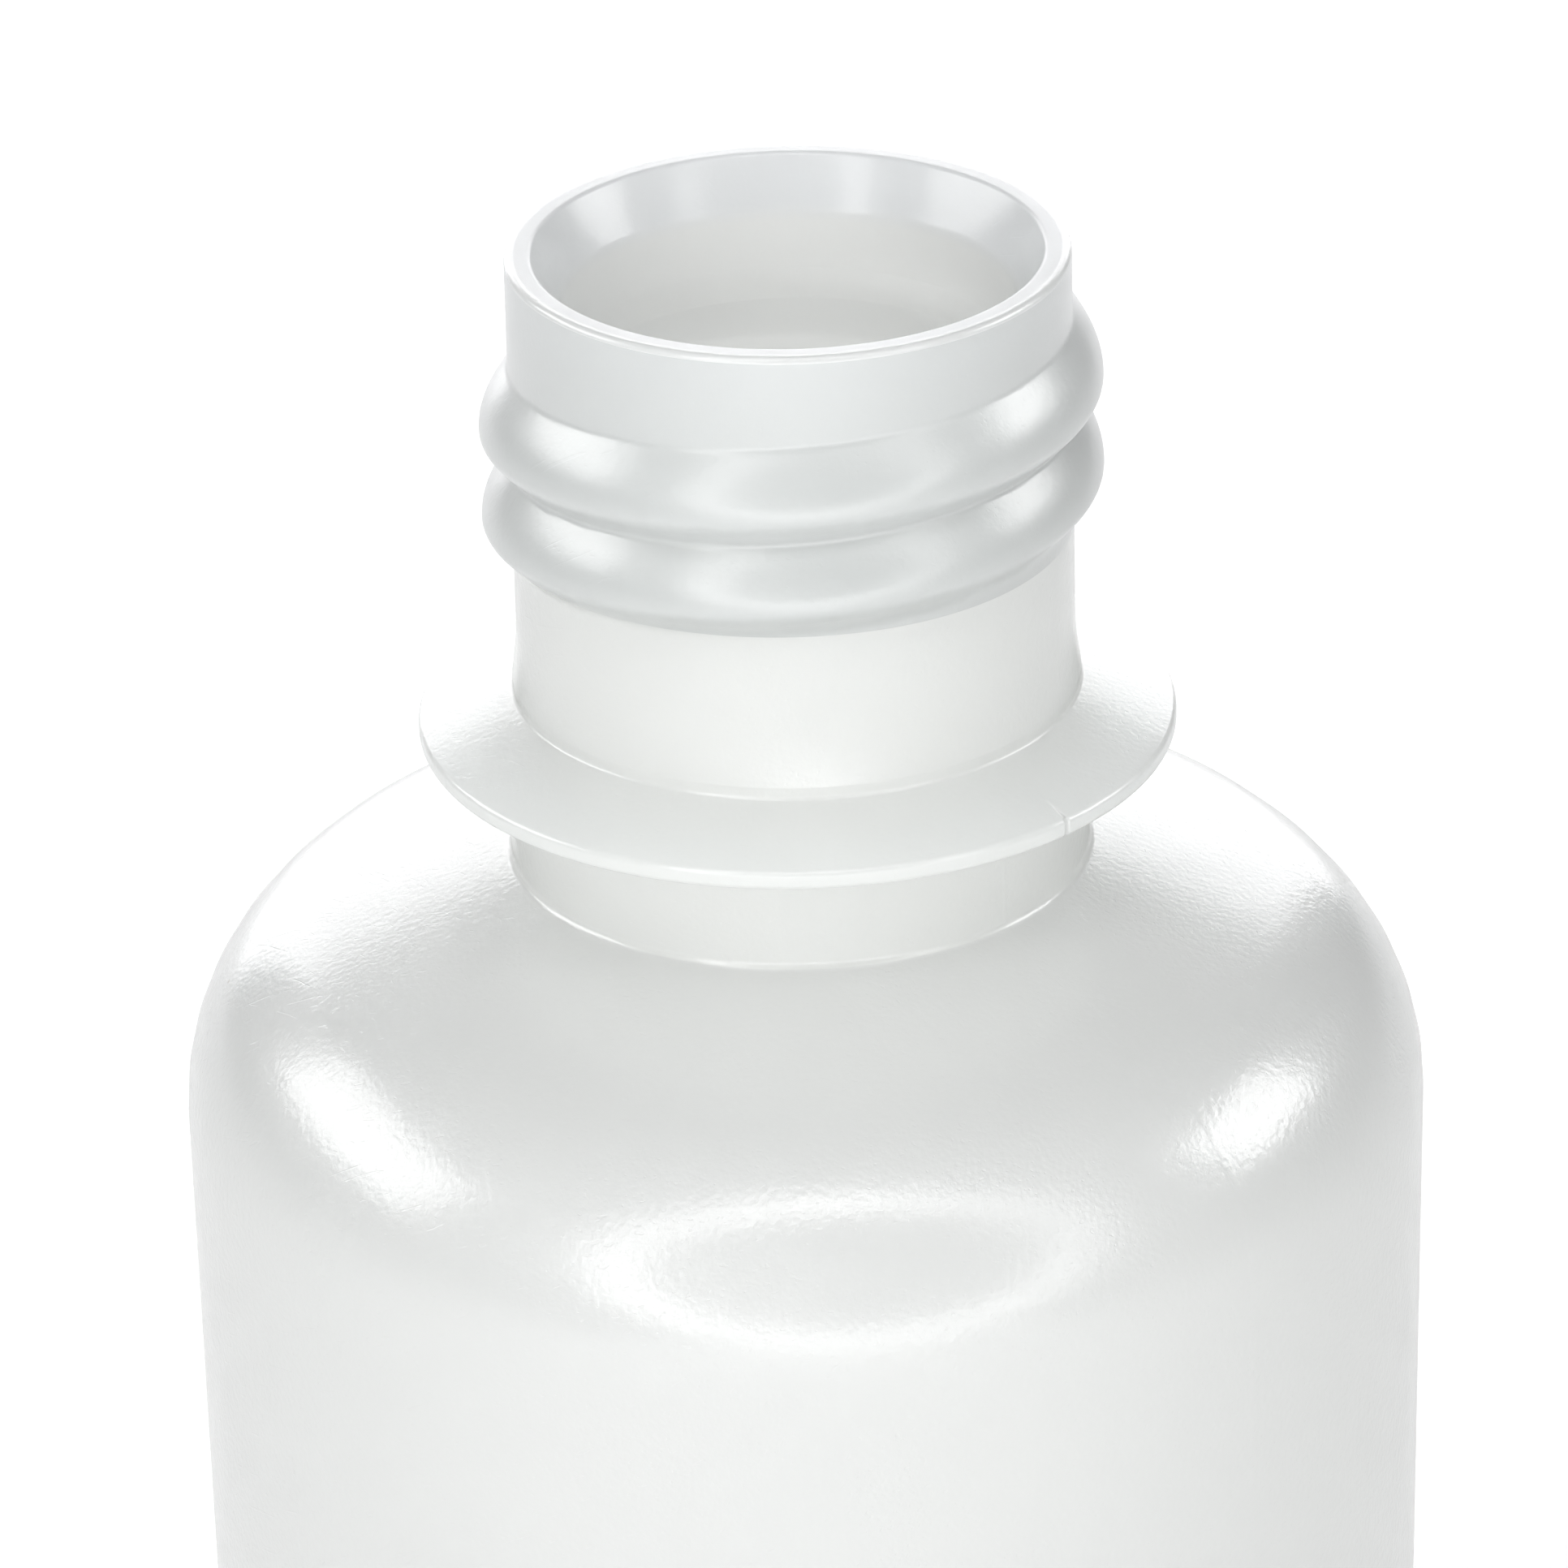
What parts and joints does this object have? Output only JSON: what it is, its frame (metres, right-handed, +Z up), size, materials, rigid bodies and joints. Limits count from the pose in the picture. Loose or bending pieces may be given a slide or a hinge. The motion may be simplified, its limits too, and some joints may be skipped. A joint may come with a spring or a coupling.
{
  "type": "reagent bottle",
  "caption": "Round narrow-neck reagent bottle in milky translucent polyethylene with a threaded neck, guard flange and a separate ribbed screw closure lying beside it.",
  "frame": {"origin": "centre of the bottle's standing ring, on the bench", "axes": "+Z up along the bottle's axis, out of the mouth; +X towards the closure lying on the bench; -Y is the front"},
  "size_m": [0.0987, 0.0572, 0.127],
  "materials": {
    "bottle_polyethylene": "milky translucent natural polyethylene, satin outside, glossy at the mouth",
    "cap_plastic": "white moulded plastic, fine matt",
    "liner_foam": "closed-cell foam, smooth skin"
  },
  "bodies": {
    "bottle": {"bottle": "bottle_polyethylene"},
    "liner": {"liner": "liner_foam"},
    "cap": {"cap": "cap_plastic"},
    "band": {"tamper_band": "cap_plastic"}
  },
  "joints": [
    {"name": "cap_lift", "type": "slide", "parent": "bottle", "child": "liner", "axis": [0, 0, 1], "range_m": [0, 0.16]},
    {"name": "cap_turn", "type": "hinge", "parent": "liner", "child": "cap", "pos_m": [0.054, -0.008, 0], "axis": [0, 0, 1], "continuous": true},
    {"name": "band_break", "type": "slide", "parent": "cap", "child": "band", "axis": [0, 0, 1], "range_m": [0, 0.006]}
  ]
}
